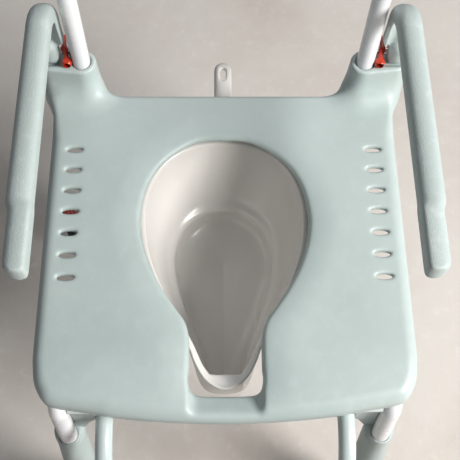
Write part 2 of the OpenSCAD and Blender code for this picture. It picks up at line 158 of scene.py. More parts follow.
def smooth_line(points, steps=6):
    """A Catmull-Rom curve through plan points."""
    p = [np.array(q, float) for q in points]
    p = [2 * p[0] - p[1], *p, 2 * p[-1] - p[-2]]
    out = []
    for a, b, c, d in zip(p, p[1:], p[2:], p[3:]):
        for t in np.arange(steps) / steps:
            square, cube = 2 * a - 5 * b + 4 * c - d, 3 * b - a - 3 * c + d
            out.append((2 * b + (c - a) * t + square * t**2 + cube * t**3) / 2)
    return [*out, p[-2]]


def outline(points, x, y):
    """Signed distance in plan to a closed polygon, negative inside."""
    far, inside = np.float32(1e12), False
    for a, b in zip(points, [*points[1:], points[0]]):
        ax, ay, ex, ey = float(a[0]), float(a[1]), float(b[0] - a[0]), float(b[1] - a[1])
        wx, wy = x - ax, y - ay
        t = np.clip((wx * ex + wy * ey) / max(ex * ex + ey * ey, 1e-9), 0.0, 1.0)
        far = np.minimum(far, (wx - ex * t) ** 2 + (wy - ey * t) ** 2)
        if abs(ey) > 1e-9:
            inside = inside ^ (((ay > y) != (ay + ey > y)) & (wx < ex * wy / ey))
    return np.where(inside, -1.0, 1.0) * np.sqrt(far)


CORNERS = np.array([(i, j, k) for i in (0, 1) for j in (0, 1) for k in (0, 1)])
EDGES = [(a, b) for a in range(8) for b in range(a + 1, 8) if np.abs(CORNERS[a] - CORNERS[b]).sum() == 1]


def surface(field, low, high, step):
    """Vertices and quads of the field's zero surface: a surface net, its vertices then moved onto it."""
    axes = [np.arange(low[i], high[i] + step, step, dtype=np.float32) for i in range(3)]
    sparse = np.meshgrid(*axes, indexing="ij", sparse=True)
    shape = tuple(len(a) for a in axes)
    values = np.broadcast_to(field(sparse), shape).astype(np.float32)
    solid = values < 0
    count = np.zeros(tuple(n - 1 for n in shape), np.int8)
    for i, j, k in CORNERS:
        count += solid[i : shape[0] - 1 + i, j : shape[1] - 1 + j, k : shape[2] - 1 + k]
    # A vertex in each cell that the surface crosses, at the mean of the crossings on the cell's edges.
    cells = np.argwhere((count > 0) & (count < 8))
    index = np.full(count.shape, -1, np.int64)
    index[tuple(cells.T)] = np.arange(len(cells))
    total, number = np.zeros((len(cells), 3)), np.zeros(len(cells))
    for a, b in EDGES:
        va, vb = (values[tuple((cells + CORNERS[c]).T)] for c in (a, b))
        cross = (va < 0) != (vb < 0)
        t = np.where(cross, va / np.where(cross, va - vb, 1.0), 0.0)
        total += np.where(cross[:, None], CORNERS[a] + t[:, None] * (CORNERS[b] - CORNERS[a]), 0.0)
        number += cross
    points = np.array(low, float) + step * (cells + total / number[:, None])
    # A quad round each grid edge that the surface crosses, facing outwards.
    quads = []
    for axis in range(3):
        u, v = (axis + 1) % 3, (axis + 2) % 3
        ahead = np.moveaxis(solid, axis, 0)
        flips = np.argwhere(ahead[1:] != ahead[:-1])
        order = [axis] + [i for i in range(3) if i != axis]
        where = np.empty_like(flips)
        where[:, order] = flips
        fits = np.all(where[:, [u, v]] > 0, 1) & (where[:, u] < shape[u] - 1) & (where[:, v] < shape[v] - 1)
        where = where[fits]
        du, dv = np.eye(3, dtype=int)[u], np.eye(3, dtype=int)[v]
        ring = [index[tuple((where - s).T)] for s in (du + dv, dv, 0 * du, du)]
        face = np.stack(ring, 1)
        out = solid[tuple(where.T)]
        face[~out] = face[~out][:, ::-1]
        quads.append(face)
    # Newton steps along the field's slope, none longer than reach.
    reach, probe = step * 0.6, 0.1
    for _ in range(4):
        value = evaluate(field, points)
        plus, minus = (
            np.stack([evaluate(field, points + d) for d in np.eye(3) * sign * probe], 1) for sign in (1, -1)
        )
        slope = (plus - minus) / (2 * probe)
        size = np.maximum((slope**2).sum(1), 0.05)
        move = slope * (value / size)[:, None]
        span = np.linalg.norm(move, axis=1)
        points = points - move * np.minimum(1.0, reach / np.maximum(span, 1e-9))[:, None]
    return points, np.concatenate(quads)


def evaluate(field, points):
    return field([points[:, 0], points[:, 1], points[:, 2]])


def relax(points, quads, passes):
    """Evens out a net by drawing each point towards the middle of its neighbours."""
    ends = np.concatenate([quads[:, [i, (i + 1) % 4]] for i in range(4)])
    count = np.bincount(ends.ravel(), minlength=len(points))[:, None]
    for _ in range(passes):
        total = [
            np.bincount(ends[:, 0], points[ends[:, 1], i], len(points))
            + np.bincount(ends[:, 1], points[ends[:, 0], i], len(points))
            for i in range(3)
        ]
        points = 0.5 * points + 0.5 * np.stack(total, 1) / count
    return points


def piece(name, field, low, high, step, place=None, passes=2):
    """A mesh of the field, in millimetres of the seat's frame or of the frame of place, a 4x4 matrix."""
    points, quads = surface(field, low, high, step)
    points = relax(points, quads, passes)
    mesh = bpy.data.meshes.new(name)
    if place is None:
        world = points * MM + ORIGIN
    else:
        m = np.array(place)
        world = (points * MM) @ m[:3, :3].T + m[:3, 3]
    mesh.from_pydata(world.tolist(), [], quads.tolist())
    mesh.update()
    mesh.shade_smooth()
    obj = bpy.data.objects.new(name, mesh)
    bpy.context.scene.collection.objects.link(obj)
    return obj


# ---------------------------------------------------------------- materials


def linear(srgb):
    """A linear colour with alpha, from 0 to 255 levels."""
    levels = [v / 255 for v in srgb]
    return [v / 12.92 if v <= 0.04045 else ((v + 0.055) / 1.055) ** 2.4 for v in levels] + [1.0]


class Paint:
    """A procedural Principled material in object coordinates, in metres."""

    def __init__(self, name, roughness, metallic=0.0, coat=0.0):
        self.mat = bpy.data.materials.new(name)
        self.mat.use_nodes = True
        self.tree = self.mat.node_tree
        self.shader = self.tree.nodes["Principled BSDF"]
        self.shader.inputs["Metallic"].default_value = metallic
        self.shader.inputs["IOR"].default_value = 1.5
        self.shader.inputs["Coat Weight"].default_value = coat
        self.shader.inputs["Coat Roughness"].default_value = 0.12
        self.roughness = roughness
        self.where = self.add("ShaderNodeTexCoord").outputs["Object"]
        self.normal = None

    def add(self, kind, **values):
        node = self.tree.nodes.new(kind)
        for key, value in values.items():
            setattr(node, key, value)
        return node

    def link(self, a, b):
        self.tree.links.new(a, b)

    def noise(self, scale, detail, rough=0.5):
        node = self.add("ShaderNodeTexNoise")
        node.inputs["Scale"].default_value = scale
        node.inputs["Detail"].default_value = detail
        node.inputs["Roughness"].default_value = rough
        self.link(self.where, node.inputs["Vector"])
        return node.outputs["Fac"]

    def cells(self, scale):
        """Distance to the nearest edge between random cells."""
        node = self.add("ShaderNodeTexVoronoi", feature="DISTANCE_TO_EDGE")
        node.inputs["Scale"].default_value = scale
        self.link(self.where, node.inputs["Vector"])
        return node.outputs["Distance"]

    def ramp(self, value, low, high, to_low=0.0, to_high=1.0):
        """Smooth step of a value, from to_low at low to to_high at high."""
        node = self.add("ShaderNodeMapRange", interpolation_type="SMOOTHSTEP")
        for key, v in (("From Min", low), ("From Max", high), ("To Min", to_low), ("To Max", to_high)):
            node.inputs[key].default_value = v
        self.link(value, node.inputs["Value"])
        return node.outputs["Result"]

    def colours(self, base, *layers):
        """The base colour, then each (colour, mask) laid over it."""
        # A colour mix takes its two colours at inputs 6 and 7 and gives the result at output 2.
        now = None
        for colour, mask in layers:
            mix = self.add("ShaderNodeMix", data_type="RGBA")
            self.link(mask, mix.inputs["Factor"])
            if now is None:
                mix.inputs[6].default_value = linear(base)
            else:
                self.link(now, mix.inputs[6])
            mix.inputs[7].default_value = linear(colour)
            now = mix.outputs[2]
        self.link(now, self.shader.inputs["Base Color"])
        return self

    def rough(self, mask, spread):
        """Roughness that varies by spread about its middle value."""
        low, high = self.roughness - spread, self.roughness + spread
        self.link(self.ramp(mask, 0.25, 0.75, low, high), self.shader.inputs["Roughness"])
        return self

    def bump(self, height, depth, strength=1.0):
        """Relief of a depth in metres."""
        node = self.add("ShaderNodeBump")
        node.inputs["Strength"].default_value = strength
        node.inputs["Distance"].default_value = depth
        self.link(height, node.inputs["Height"])
        if self.normal is not None:
            self.link(self.normal, node.inputs["Normal"])
        self.normal = node.outputs["Normal"]
        self.link(self.normal, self.shader.inputs["Normal"])
        return self

    def worn(self, strength, low=0.53, high=0.62):
        """A mask of the outer edges."""
        pointed = self.add("ShaderNodeNewGeometry").outputs["Pointiness"]
        return self.ramp(pointed, low, high, 0.0, strength)


def moulded(name, base, light, dark, roughness, grain=520.0, depth=0.00012, coat=0.0, rub=1.0, wave=0.0003):
    """Moulded plastic: fine grain of a depth, flow waves of a height and worn edges of a strength rub."""
    p = Paint(name, roughness, coat=coat)
    flow, fine = p.noise(7.0, 2.0), p.noise(grain, 2.0, 0.6)
    specks = p.noise(60.0, 3.0, 0.6)
    p.colours(
        base,
        (dark, p.ramp(flow, 0.40, 0.75, 0.0, 0.55)),
        (light, p.ramp(specks, 0.45, 0.75, 0.0, 0.12)),
        (light, p.worn(rub)),
    )
    return p.rough(specks, 0.07 * rub).bump(fine, depth).bump(flow, wave).mat


def leather(name, base, light, dark, roughness):
    """Soft skin of the arm pads: a pebbled leather grain."""
    p = Paint(name, roughness)
    pebbles, veins = p.cells(430.0), p.noise(60.0, 4.0, 0.6)
    creases = p.ramp(pebbles, 0.0, 0.22)
    p.colours(
        base,
        (dark, p.ramp(pebbles, 0.16, 0.0, 0.0, 0.18)),
        (light, p.ramp(veins, 0.50, 0.78, 0.0, 0.45)),
        (light, p.worn(1.0, 0.54, 0.66)),
    )
    return p.rough(veins, 0.08).bump(creases, 0.00018).bump(veins, 0.0002, 0.5).mat


def painted(name, base, light, dark, roughness, metallic=0.0, coat=0.3):
    """Powder coat: orange peel, faint dust and a few rubbed spots."""
    p = Paint(name, roughness, metallic=metallic, coat=coat)
    peel, dust = p.noise(260.0, 2.0, 0.4), p.noise(16.0, 6.0, 0.7)
    p.colours(base, (dark, p.ramp(dust, 0.45, 0.85, 0.0, 0.6)), (light, p.worn(1.0, 0.54, 0.66)))
    return p.rough(dust, 0.08).bump(peel, 0.00005).mat


GREEN = moulded("green_plastic", (178, 190, 188), (205, 214, 212), (160, 174, 172), 0.46)
# A darker copy of the seat's green: painted shade for the sockets, brackets, castor forks and small fittings
# that sit down in the seat's shadow.
GREEN_SHADED = moulded(
    "green_plastic_painted_shade", (166, 178, 176), (196, 206, 204), (140, 152, 150), 0.46, depth=0.0001
)
GREEN_TUBE = painted("green_tube", (190, 202, 201), (214, 223, 222), (172, 185, 184), 0.30)
PAD = leather("pad_skin", (177, 188, 186), (198, 206, 204), (142, 155, 152), 0.52)
WHITE = painted("white_paint", (228, 228, 230), (244, 244, 245), (210, 211, 214), 0.26, coat=0.4)
PAN = moulded(
    "pan_plastic", (222, 218, 214), (232, 229, 226), (214, 209, 204), 0.27,
    grain=420.0, depth=0.000004, coat=0.25, rub=0.05, wave=0.00002,
)
RED = moulded(
    "red_plastic", (186, 50, 24), (214, 92, 58), (150, 34, 18), 0.30, grain=420.0, depth=0.00005, coat=0.25
)
GREY = moulded("grey_plastic", (146, 150, 152), (172, 176, 178), (120, 124, 127), 0.48)
RUBBER = moulded("tyre_rubber", (44, 45, 48), (86, 87, 90), (28, 29, 31), 0.72, grain=700.0, depth=0.0001)
STEEL = painted(
    "bright_steel", (176, 178, 182), (214, 216, 220), (132, 134, 138), 0.28, metallic=1.0, coat=0.0
)


def dress(obj, material):
    obj.data.materials.clear()
    obj.data.materials.append(material)


def make(name, field, low, high, step, material, body, nodes, place=None, passes=2):
    """A finished piece that rides on a body and stands in for its CAD nodes."""
    obj = piece(name, field, low, high, step, place, passes)
    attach(obj, body)
    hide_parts(*nodes)
    dress(obj, material)


def paired(name, field, low, high, step, material, body, nodes):
    """One piece on each side, its bounds given for the right."""
    for side, sign in SIDES:
        x0, x1 = sorted((sign * low[0], sign * high[0]))
        own = [text.format(side=side) for text in (body, *nodes)]
        make(
            f"{name}_{side}", field, (x0, *low[1:]), (x1, *high[1:]), step, material, own[0], own[1:]
        )


# ---------------------------------------------------------------- seat

SEAT_HALF, SEAT_REAR, SKIRT = 247.0, 222.0, -38.0
NOTCH_HALF = 47.0
FAR = -300.0  # closes a half outline well past the middle plane, so that no edge is made there
# Half outlines in plan, from the rear round to the front: the seat's edge and its opening with the notch.
PLAN = [
    (FAR, SEAT_REAR), (SEAT_HALF - 12, SEAT_REAR), (SEAT_HALF, SEAT_REAR - 12),
    (SEAT_HALF, 136), (SEAT_HALF, -168),
    *smooth_line([
        (247, -172), (244, -198), (239, -212), (231, -224), (220, -230), (196, -234),
        (164, -239), (143, -243), (95, -248), (45, -251), (0, -252), (-45, -251),
    ]),
    (FAR, -252),
]
HOLE = [
    (FAR, 150),
    *smooth_line([
        (-35, 147), (0, 150), (35, 147), (67, 129), (92, 104), (108, 72), (115, 37),
        (115, 10), (109, -20), (98, -50), (82, -80), (66, -104), (53, -123), (48, -140),
        (47, -160), (47, -190), (46.5, -204), (42, -213), (31, -217), (0, -218), (-20, -218),
    ]),
    (FAR, -218),
]


def ear(a, y, z):
    """Block that rises round the back tube and under the arm hinge, stepped down where the arm turns."""
    spread = np.maximum(49.0 - z, 0.0) * 0.05
    (ax, ay), ex, ey = POST, 41.5, 5.0
    t = share(((a - ax) * ex + (y - ay) * ey) / (ex**2 + ey**2))
    block = np.sqrt((a - ax - t * ex) ** 2 + (y - ay - t * ey) ** 2) - 20.6 - spread
    step = share((a - 213.0) / 6.0) * share((y - 232.0) / 6.0)
    top = 55.0 - 5.0 * step
    return rounded(block, np.abs(z + (60.0 - top) / 2) - (60.0 + top) / 2, 3.0)


def seat(p):
    """One moulded shell: dished round the opening, falling to the front, rising into the ears behind."""
    x, y, z = p
    a = np.abs(x)
    plan = outline(PLAN, a, y)
    hole = outline(HOLE, a, y)
    dish = share(1.0 - hole / 42.0)
    fall = np.clip((-148.0 - y) / 100.0, 0.0, 1.2)
    sunk = z + 5.0 * dish * dish + 9.0 * fall * fall
    top = rounded(plan, between(sunk, -90, 0), 17.0 - 10.0 * share((y - 150.0) / 50.0))
    d = soft_min(top, ear(a, y, z), 40.0)
    # Hollow underside: a deep skirt round the rim and the notch, a shallow one behind the opening.
    bar_room = np.minimum(60.0 - a, -200.0 - y)
    wall = np.maximum(np.maximum(plan + 6.0, 7.0 - hole), bar_room)
    inner = soft_max(wall, sunk + 9.0, 8.0)
    from_post = away(a, y, POST)
    d = soft_max(d, -soft_max(inner, -(from_post - 23), 4.0), 3.0)
    lip = SKIRT + 22.0 * share((y + 150.0) / 230.0)
    d = soft_max(d, np.where(hole < 14.0, lip, SKIRT) - z, 3.0)
    d = soft_max(d, -hole, 7.0)
    # The bar in front of the notch: a low narrow ridge, its inner face sloping down to the rear.
    slope = -((y + 244.0) * 0.45 + (z + 13.0) * 0.893)
    dip = soft_min(-13.0 - z, slope, 5.0)
    d = soft_max(d, -soft_max(dip, soft_max(a - NOTCH_HALF, y + 190.0, 6.0), 13.0), 5.0)
    d = soft_max(d, -(from_post - POST_R - 0.8), 2.0)
    # Seven oval drain slots a side, 32.4 mm apart.
    slots = np.float32(1e6)
    for i in range(7):
        across, along = (a - 211.4) / 11.9, (y - 130 + 32.4 * i) / 4.4
        slots = np.minimum(slots, (np.sqrt(across**2 + along**2) - 1.0) * 4.4)
    return soft_max(d, -slots, 1.8)


def arm(p):
    """Arm support: a domed padded bar, turned down behind into a channelled post with a round foot."""
    x, y, z = p
    a = np.abs(x)
    nose, fall = ease(share((-46.0 - y) / 18.0)), ease(share((150.0 - z) / 60.0))
    # The pad's nose is fuller and a little further in, the post thicker and further out.
    middle = 233.2 - 5.2 * nose + 3.3 * fall
    half = 17.2 + 1.2 * nose + 2.2 * fall
    lift = 182.5 + 1.5 * nose
    # Side view: level pad, a quarter turn, then a post that leans back to the hinge.
    turn_y, turn_z, turn_r = 197.0, 137.0, 45.6
    lean = share((turn_z - z) / 70.0)
    back = y - 9.4 * lean * lean * (3 - 2 * lean)
    turn = np.where(y > turn_y, away(y, z, (turn_y, turn_z)) - turn_r, z - lift)
    out = np.where(z > turn_z, turn, back - turn_y - turn_r) + 4.0
    dome = np.abs(out) / np.where(out > 0.0, 18.4 - 1.5 * fall, 10.4)
    d = ((dome**2.4 + (np.abs(a - middle) / half) ** 2.4) ** (1 / 2.4) - 1.0) * 14.0
    tip = np.sqrt((a - middle) ** 2 + np.minimum(y + 118.0, 0.0) ** 2) - half - 1.2
    d = soft_max(d, tip, 4.0)
    # Channel down the front of the post, and the foot that fills its lower end.
    q = (a, y, z)
    d = soft_max(d, -bar(q, (236.5, 222, 168), (236.5, 229, 96), 15.5, 16.0), 2.5)
    inner = 217.5 + 16.0 * share((98.0 - z) / 14.0)
    d = soft_max(d, inner - a, 4.0)
    foot = bar(q, (244, 247, 66), (242.5, 243, 88), 13.6, 12.0)
    d = soft_min(d, foot, 4.0)
    d = soft_min(d, drum(q, (233.4, *HINGE), (257.5, *HINGE), 13.8, r=3.0), 3.0)
    bottom = 51.4 + 5.0 * share((240.0 - y) / 4.0)
    d = soft_max(d, bottom - z, 2.0)
    return soft_max(d, -drum(q, (257.0, *HINGE), (262, *HINGE), 8.5, r=0.5), 1.0)


def lock(p):
    """Thumb catch: a glossy knob in front, a slim hub on the hinge pin and a tapered tail behind."""
    q = (np.abs(p[0]), p[1], p[2])
    knob = rounded(away(q[0], q[1], (219.8, 233.6)) - 7.2, between(q[2], 55.8, 67.4), 4.5)
    stem = bar(q, (220.2, 237, 65), (220.8, 251, 72), 3.3, 2.4)
    hub = drum(q, (221.0, *HINGE), (226.4, *HINGE), 6.2, r=2.0)
    tail = bar(q, (224.0, 252, 69), (224.4, 275, 68), 3.8, 2.2)
    return soft_min(soft_min(knob, stem, 3.0), soft_min(hub, tail, 5.0), 2.0)


# Half outlines of the pan: its rim, the top of its inner wall and its ledge.
RIM = [
    (FAR, 168),
    *smooth_line([
        (-40, 163), (0, 168), (40, 163), (78, 143), (102, 110), (113, 72), (114, 36), (107, -10),
        (90, -58), (68, -105), (48, -145), (39, -168), (27, -188), (13, -199), (0, -203), (-13, -199),
    ]),
    (FAR, -203),
]
WALL = [
    (FAR, 165.5),
    *smooth_line([
        (-40, 160.5), (0, 165.5), (40, 160.5), (76, 141), (99.5, 108.5), (110.5, 72), (111.5, 36),
        (104.5, -10), (87, -58), (68, -95), (53, -121), (39, -147), (30, -164), (25, -173),
    ]),
    (22, -181),
    *smooth_line([(21, -182), (11, -181), (0, -178.5), (-11, -181)]),
    (FAR, -181),
]
RING = [
    (FAR, 112),
    *smooth_line([
        (-30, 107), (0, 112), (30, 107), (58, 86), (74, 56), (79, 22), (73, -18),
        (60, -60), (46, -98), (36, -128), (28, -156), (20, -170), (0, -174), (-20, -170),
    ], 5),
    (FAR, -174),
]


def pan_cavity(a, y, z):
    """Room inside the pan, and its rim: a wall, a ledge, a bowl with a shallow valley and a sloping lip."""
    rim, ring, brim = outline(RIM, a, y), outline(RING, a, y), outline(WALL, a, y)
    depth = share((-46.0 - z) / 104.0)
    turn = depth**1.55
    wall = brim * (1 - turn) + (ring - 5.0) * turn
    upper = soft_max(wall, -151.0 - z, 14.0)
    fall = np.sqrt(a * a + np.maximum(y - 35.0, 0.0) ** 2)
    floor_z = -192.0 + 0.22 * np.minimum(fall, 60.0)
    lower = soft_max(ring + 4.0 + 0.10 * (-150.0 - z), floor_z - z, 20.0)
    lip = soft_max(rim + 2.0, -(z + 47.5 - 0.45 * rim) * 0.91, 2.0)
    return soft_min(soft_min(upper, lower, 6.0), lip, 1.0), rim


def pan(p):
    """Slide-in pan: a shell round the cavity, thicker lower down, with a beaded rim and a slotted handle."""
    x, y, z = p
    a = np.abs(x)
    cavity, rim = pan_cavity(a, y, z)
    shell = cavity - 3.2 - share((-56.0 - z) / 16.0) - 2.4 * share((-60.0 - z) / 60.0)
    bead = rounded(rim - 2.5 - 4.5 * share((y + 60.0) / 60.0), between(z, -50.5, -45.6), 2.2)
    d = soft_min(soft_max(shell, z + 46.6, 1.0), soft_max(bead, -(rim + 3.0), 3.0), 1.5)
    d = soft_max(d, -cavity, 2.4)
    half = 14.5
    stem = rounded(a - half, between(y, 120, 340), 2.0)
    crown = -49.5 - (a / half) ** 2 * 4.0
    end = np.sqrt(a * a + np.maximum(y - 306.5, 0.0) ** 2) - half
    tab = soft_max(np.maximum(soft_max(stem, end, 1.0), 150.0 - y), z - crown, 8.0)
    droop = share((y - 300.0) / 22.0) ** 2 * 5.0
    tab = soft_max(tab, (z + 49.5 + droop) * 0.9, 5.0)
    tab = soft_max(tab, -62.0 - z, 3.0)
    slot = np.sqrt(x * x + (y - np.clip(y, 288.0, 303.5)) ** 2) - 4.2 - 0.04 * (y - 296)
    tab = soft_max(tab, -slot, 2.4)
    return soft_min(d, soft_max(tab, -(cavity - 2.0), 1.0), 5.0)


def leg_axis(z):
    """Middle of the front leg at a height."""
    return -229.0 + 0.135 * (z + 50.0)


def front_socket(p):
    """Sleeve on a front leg: a slim mouth in front of a wider hood, flaring down to the castor."""
    x, y, z = p
    a, cy = np.abs(x) - LEG_X, leg_axis(z)
    low = share((-180.0 - z) / 120.0)
    mouth = np.sqrt(a**2 + (y - cy) ** 2) - (15.2 + 6.0 * low)
    mouth = rounded(mouth, between(z + 0.10 * (y - cy), SLEEVE_FOOT, -143.0), 2.0)
    hood = np.sqrt(a**2 + (y - cy - 9.0 + 9.0 * low) ** 2) - (21.5 + 3.0 * low)
    hood = rounded(hood, between(z - 0.55 * (y - cy), -330.0, -146.0), 9.0)
    hood = soft_max(hood, -(z - SLEEVE_FOOT), 3.0)
    d = soft_min(mouth, hood, 2.5)
    seat_of_tube = np.sqrt(a**2 + (y - cy) ** 2) - 12.7
    return soft_max(soft_max(d, SLEEVE_FOOT - z, 3.0), -np.maximum(seat_of_tube, TUBE_FOOT - z), 1.6)


def rear_socket(p):
    """Sleeve on the foot of a back tube, flaring down to the castor."""
    x, y, z = p
    from_post = away(np.abs(x), y, POST)
    low = share((-218.0 - z) / 80.0)
    d = rounded(from_post - 16.6 - 7.6 * low * low * (3 - 2 * low), between(z, SLEEVE_FOOT, -215.0), 2.5)
    return soft_max(d, -np.maximum(from_post - 13.7, TUBE_FOOT - z), 1.6)


def bracket(p):
    """Casting between a front leg and the sleeve that a foot tube slides in."""
    x, y, z = p
    a = np.abs(x)
    block = brick((a, y, z), (FOOT_TUBE[0], -212, -73.5), (16, 20, 18.5), 5.0)
    # Web that tapers down to the leg.
    lean = ((a - 174.0) * 0.93 + (z + 96.0) * 0.36) * -1.0
    web = soft_max(soft_max(lean, z + 60.0, 3.0), soft_max(a - 212.0, -158.0 - z, 3.0), 3.0)
    web = rounded(web, np.abs(y + 226.0) - 4.5, 2.0)
    rib = brick((a, y, z), (190, -220, -66), (22, 9, 3.4), 2.5)
    fillet = brick((a, y, z), (178, -220, -84), (7, 9, 22), 5.0)
    d = soft_min(soft_min(soft_min(block, web, 6.0), rib, 4.0), fillet, 6.0)
    # Room for the foot tube, the leg and the front cross tube.
    d = soft_max(d, -(away(a, z, FOOT_TUBE) - 11.9), 1.5)
    d = soft_max(d, -(away(a, y, (LEG_X, leg_axis(z))) - 12.6), 1.5)
    return soft_max(d, -np.maximum(away(y, z, (-230.0, -50.0)) - 10.1, -z - 75.0), 1.5)


make("seat", seat, (-270, -258, -44), (270, 275, 56), 2.2, GREEN, "frame", ["seat_shell"])
paired(
    "arm", arm, (208, -150, 46), (262, 276, 204), 1.8, PAD,
    "arm_support_{side}", ["arm_{side}"],
)
paired(
    "lock", lock, (212, 228, 46), (236, 282, 80), 0.9, RED,
    "lock_{side}", ["arm_lock_{side}"],
)
# More passes even out the steep walls of the pan, which is the glossiest large piece.
make(
    "pan", pan, (-128, -214, -202), (128, 326, -42), 2.0, PAN,
    "commode_pan", ["pan_rim", "pan_wall", "pan_bowl", "pan_handle"], passes=7,
)
# Sockets and brackets take the darker green, which paints in the shade they lie in under the seat.
for name, field, low, high, node in (
    ("front_socket", front_socket, (186, -300, -328), (246, -206, -132), "socket_front_{side}"),
    ("rear_socket", rear_socket, (172, 212, -328), (230, 270, -211), "socket_rear_{side}"),
    ("bracket", bracket, (140, -250, -162), (216, -188, -52), "front_bracket_{side}"),
):
    paired(name, field, low, high, 1.6, GREEN_SHADED, "frame", [node])

# ---------------------------------------------------------------- back, foot support and castors


def back_rest(p):
    """Back board: a thin moulded panel, bowed and ribbed, with upright slots and a rolled rim."""
    x, y, z = p
    low, high = BACK
    middle, height = (low[2] + high[2]) / 2, (high[2] - low[2]) / 2
    face = low[1] + 4.2
    plan = rounded(np.abs(x) - 209.5, np.abs(z - middle) - height + 0.5, 26.0)
    dished = 2.2 * np.clip(1.0 - (x / 190.0) ** 2, 0.0, 1.0)
    d = rounded(plan, np.abs(y - face - dished) - 2.6, 2.2)
    rim = soft_max(np.abs(plan + 6.0) - 5.0, np.abs(y - face - 1.8) - 5.6, 4.0)
    d = soft_min(d, rim, 4.0)
    slots = np.float32(1e6)
    past = np.maximum(np.abs(z - middle) - (height - 36.0), 0.0)
    for i in range(-3, 4):
        slots = np.minimum(slots, np.sqrt((x - 40.0 * i) ** 2 + past**2) - 5.0)
    return soft_max(d, -slots, 2.6)


def foot_board(p):
    """Footplate: a ribbed tread with a barrel on the hinge bar and rounded corners."""
    x, y, z = p
    high = PLATE[1]
    u, v = y - (high[1] - 13.0), z - (high[2] - 13.0)  # from the hinge bar's axis
    plan = rounded(np.abs(x) - 139.5, np.abs(u + 62.0) - 61.0, 24.0)
    d = rounded(plan, between(v, -5.8, 3.0), 2.4)
    ribs = np.abs(((x + 8.0) % 16.0) - 8.0) - 2.2
    ribs = np.maximum(np.maximum(rounded(ribs, between(v, 0, 3.9), 1.2), plan + 9.0), u + 18.0)
    d = soft_min(d, ribs, 1.5)
    holes = np.float32(1e6)
    past = np.maximum(np.abs(u + 68.0) - 34.0, 0.0)
    for i in range(8):
        across = np.abs(x - (-112.0 + 32.0 * i))
        holes = np.minimum(holes, np.sqrt(across**2 + past**2) - 4.4)
    d = soft_max(d, -holes, 2.0)
    barrel = rounded(np.sqrt(u * u + v * v) - 12.8, np.abs(x) - 143.8, 2.5)
    neck = brick((x, u, v), (0, -14, -1), (132, 12, 4.6), 3.0)
    return soft_max(soft_min(soft_min(d, barrel, 6.0), neck, 6.0), -(np.sqrt(u * u + v * v) - 8.2), 1.0)


def fork(p):
    """Castor fork in its own frame: swivel head, two curved cheeks and a mudguard web."""
    x, y, z = p
    a = np.abs(x)
    head = drum(p, (0, 0, -14), (0, 0, -0.4), 22.0, 20.0, 3.0)
    crown = brick(p, (0, 8, -13), (21.5, 27, 5), 5.0)
    side = outline(CHEEK, y, z)
    cheek = rounded(side, between(a, 18.0, 22.0), 1.6)
    boss = drum((a, y, z), (17.9, *AXLE), (24.4, *AXLE), 10.5, 9.5, 1.5)
    groove = rounded(side + 6.0, 21.2 - a, 0.5)
    d = soft_min(soft_min(head, crown, 8.0), cheek, 7.0)
    d = soft_max(d, -groove, 1.5)
    d = soft_min(d, boss, 3.0)
    tyre_room = soft_max(away(y, z, AXLE) - 66.0, a - 17.7, 2.0)
    d = soft_max(d, -tyre_room, 1.5)
    stem = drum(p, (0, 0, -12), (0, 0, 28), 5.5, r=1.0)
    pin = drum(p, (-19, *PEDAL_PIN), (19, *PEDAL_PIN), 2.5, r=0.5)
    return np.minimum(np.minimum(d, stem), pin)


def hub(p):
    """Wheel centre: a rim, five spokes and a stub round the axle."""
    x, y, z = p
    r = np.sqrt(y * y + z * z)
    turn = np.arctan2(z, y)
    fifth = 2 * np.pi / 5
    sector = (turn + fifth / 2) % fifth - fifth / 2
    across = np.abs(np.sin(sector)) * r
    rim = rounded(np.abs(r - 42.2) - 3.6, np.abs(x) - 9.8, 1.5)
    spoke = rounded(across - 7.0 + 0.04 * r, np.maximum(np.abs(x) - 7.0 + 0.05 * r, r - 42.0), 2.0)
    web = np.maximum(np.abs(x) - 2.0, r - 42.0)
    stub = rounded(r - 11.0, np.abs(x) - 16.9, 1.5)
    d = soft_min(soft_min(soft_min(rim, spoke, 4.0), web, 3.0), stub, 6.0)
    return soft_max(d, -(r - 4.2), 0.6)


def tyre(p):
    """Tread with two grooves, rounded shoulders and a raised bead."""
    a, y, z = np.abs(p[0]), p[1], p[2]
    r = np.sqrt(y * y + z * z)
    d = rounded(np.abs(r - 54.4) - 8.1, a - 15.3, 6.5)
    d = soft_max(d, -(np.sqrt((a - 5.5) ** 2 + (r - 63.0) ** 2) - 1.5), 0.6)
    bead = rounded(np.abs(r - 49.5) - 1.3, a - 15.4, 0.8)
    return soft_min(d, bead, 1.2)


def pedal(p):
    """Brake pedal: an arm on its pin and a wide ribbed tread."""
    x, y, z = p
    arm_part = brick(p, (0, 47, -28.5), (16.8, 18, 4.4), 2.5)
    barrel = drum(p, (-16.8, *PEDAL_PIN), (16.8, *PEDAL_PIN), 5.4, r=1.2)
    tread = brick(p, (0, 77, -28.5), (24.8, 20.8, 4.4), 4.0)
    d = soft_min(soft_min(arm_part, barrel, 3.0), tread, 5.0)
    ribs = np.abs(((y - 59.0) % 6.0) - 3.0) - 1.0
    edge = np.maximum(np.abs(y - 77.0) - 16.0, -24.9 - z)
    cut = np.maximum(np.maximum(ribs, np.abs(x) - 20.0), edge)
    d = soft_max(d, -cut, 0.8)
    return soft_max(d, -(away(y, z, PEDAL_PIN) - 2.55), 0.5)


BOSS = 12.5
# Side view of a fork's cheek, Y and Z: down the edge away from the pedal, round the axle and back up.
CHEEK = [
    (30, -8), (-16, -8), (-20, -14), (-19, -26),
    *smooth_line([(-12, -44), (4, -66), (18, -84), (27, -98)], 4),
    *[
        (AXLE[0] + BOSS * math.cos(t), AXLE[1] + BOSS * math.sin(t))
        for t in np.radians(range(190, 380, 15))
    ],
    *smooth_line([(52, -96), (50, -76), (44, -50), (38, -26), (36, -12)], 4),
]
BACK, PLATE = local("back_panel"), local("footplate")
SWIVELS = {j["child"]: j["pos_m"] for j in frame["joints"] if j["name"].startswith("swivel_")}


